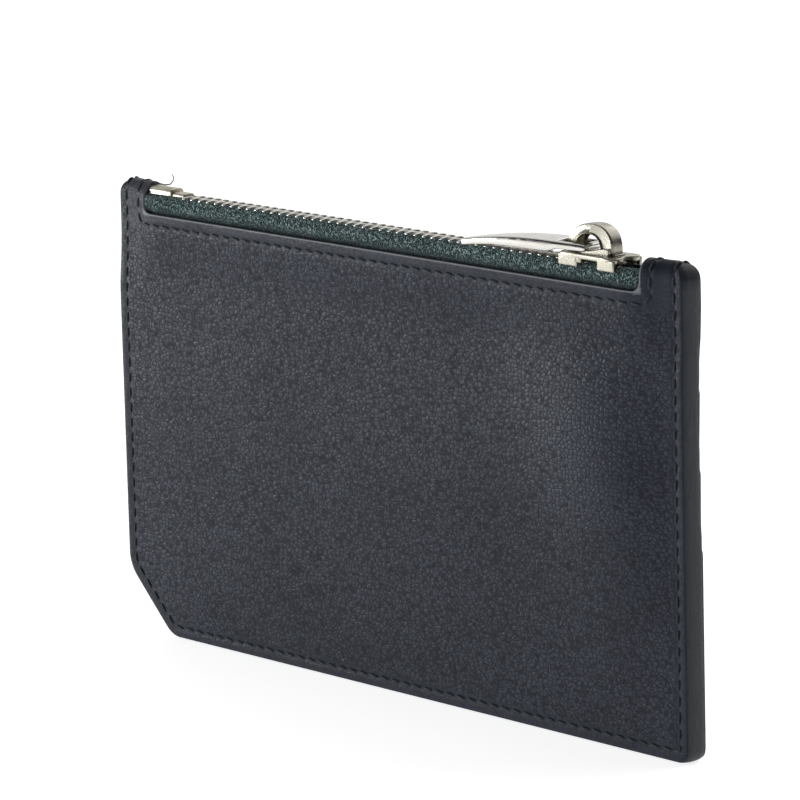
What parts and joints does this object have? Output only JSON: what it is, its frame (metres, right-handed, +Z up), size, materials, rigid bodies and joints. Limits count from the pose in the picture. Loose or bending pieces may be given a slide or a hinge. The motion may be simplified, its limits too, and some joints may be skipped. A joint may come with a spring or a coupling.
{
  "type": "zipped card holder",
  "caption": "Flat leather card holder with a zip pocket along the folded top edge, stitched painted edges, one cut corner and card slots on the back.",
  "frame": {"origin": "on the bottom edge, in the middle of the width and in the plane of the zip chain", "axes": "+X along the width towards the end where the zip is closed, +Y from the plain front to the card slots on the back, +Z up from the bottom edge to the zip"},
  "size_m": [0.13, 0.0072, 0.079],
  "materials": {
    "navy_leather": "dark navy pebble-grained calf leather, semi-matt, smooth pressed margins",
    "slot_leather": "the same leather, skived thin",
    "edge_filler": "bonded leather strip, edge painted near black navy",
    "lining": "thin dark woven lining",
    "zip_tape": "dark teal woven polyester tape",
    "zip_metal": "nickel-plated brass teeth, polished tops",
    "slider_metal": "polished nickel plate with soft hairlines",
    "thread": "tone-on-tone bonded thread"
  },
  "bodies": {
    "card_holder": {"outer_shell": "navy_leather", "seam_welt": "edge_filler", "pocket_lining_front": "lining", "pocket_lining_back": "lining", "zip_tape_front": "zip_tape", "zip_tape_back": "zip_tape", "zip_teeth_front": "zip_metal", "zip_teeth_back": "zip_metal", "zip_bottom_stop": "zip_metal", "zip_top_stop_front": "zip_metal", "zip_top_stop_back": "zip_metal", "card_slot_upper": "slot_leather", "card_slot_middle": "slot_leather", "card_slot_lower": "slot_leather", "perimeter_thread_front": "thread", "perimeter_thread_back": "thread", "zip_seam_thread": "thread", "slot_thread_upper": "thread", "slot_thread_middle": "thread", "slot_thread_lower": "thread"},
    "slider": {"slider_body": "slider_metal", "slider_crown": "slider_metal"},
    "pull": {"pull_tab": "slider_metal"}
  },
  "joints": [
    {"name": "slider_travel", "type": "slide", "parent": "card_holder", "child": "slider", "axis": [-1, 0, 0], "range_m": [0, 0.07], "deforming": ["zip_teeth_front", "zip_teeth_back"]},
    {"name": "pull_tab_flip", "type": "hinge", "parent": "slider", "child": "pull", "pos_m": [0.0452, 0, 0.0754], "axis": [0, 1, 0], "range_deg": [0, 170]}
  ]
}
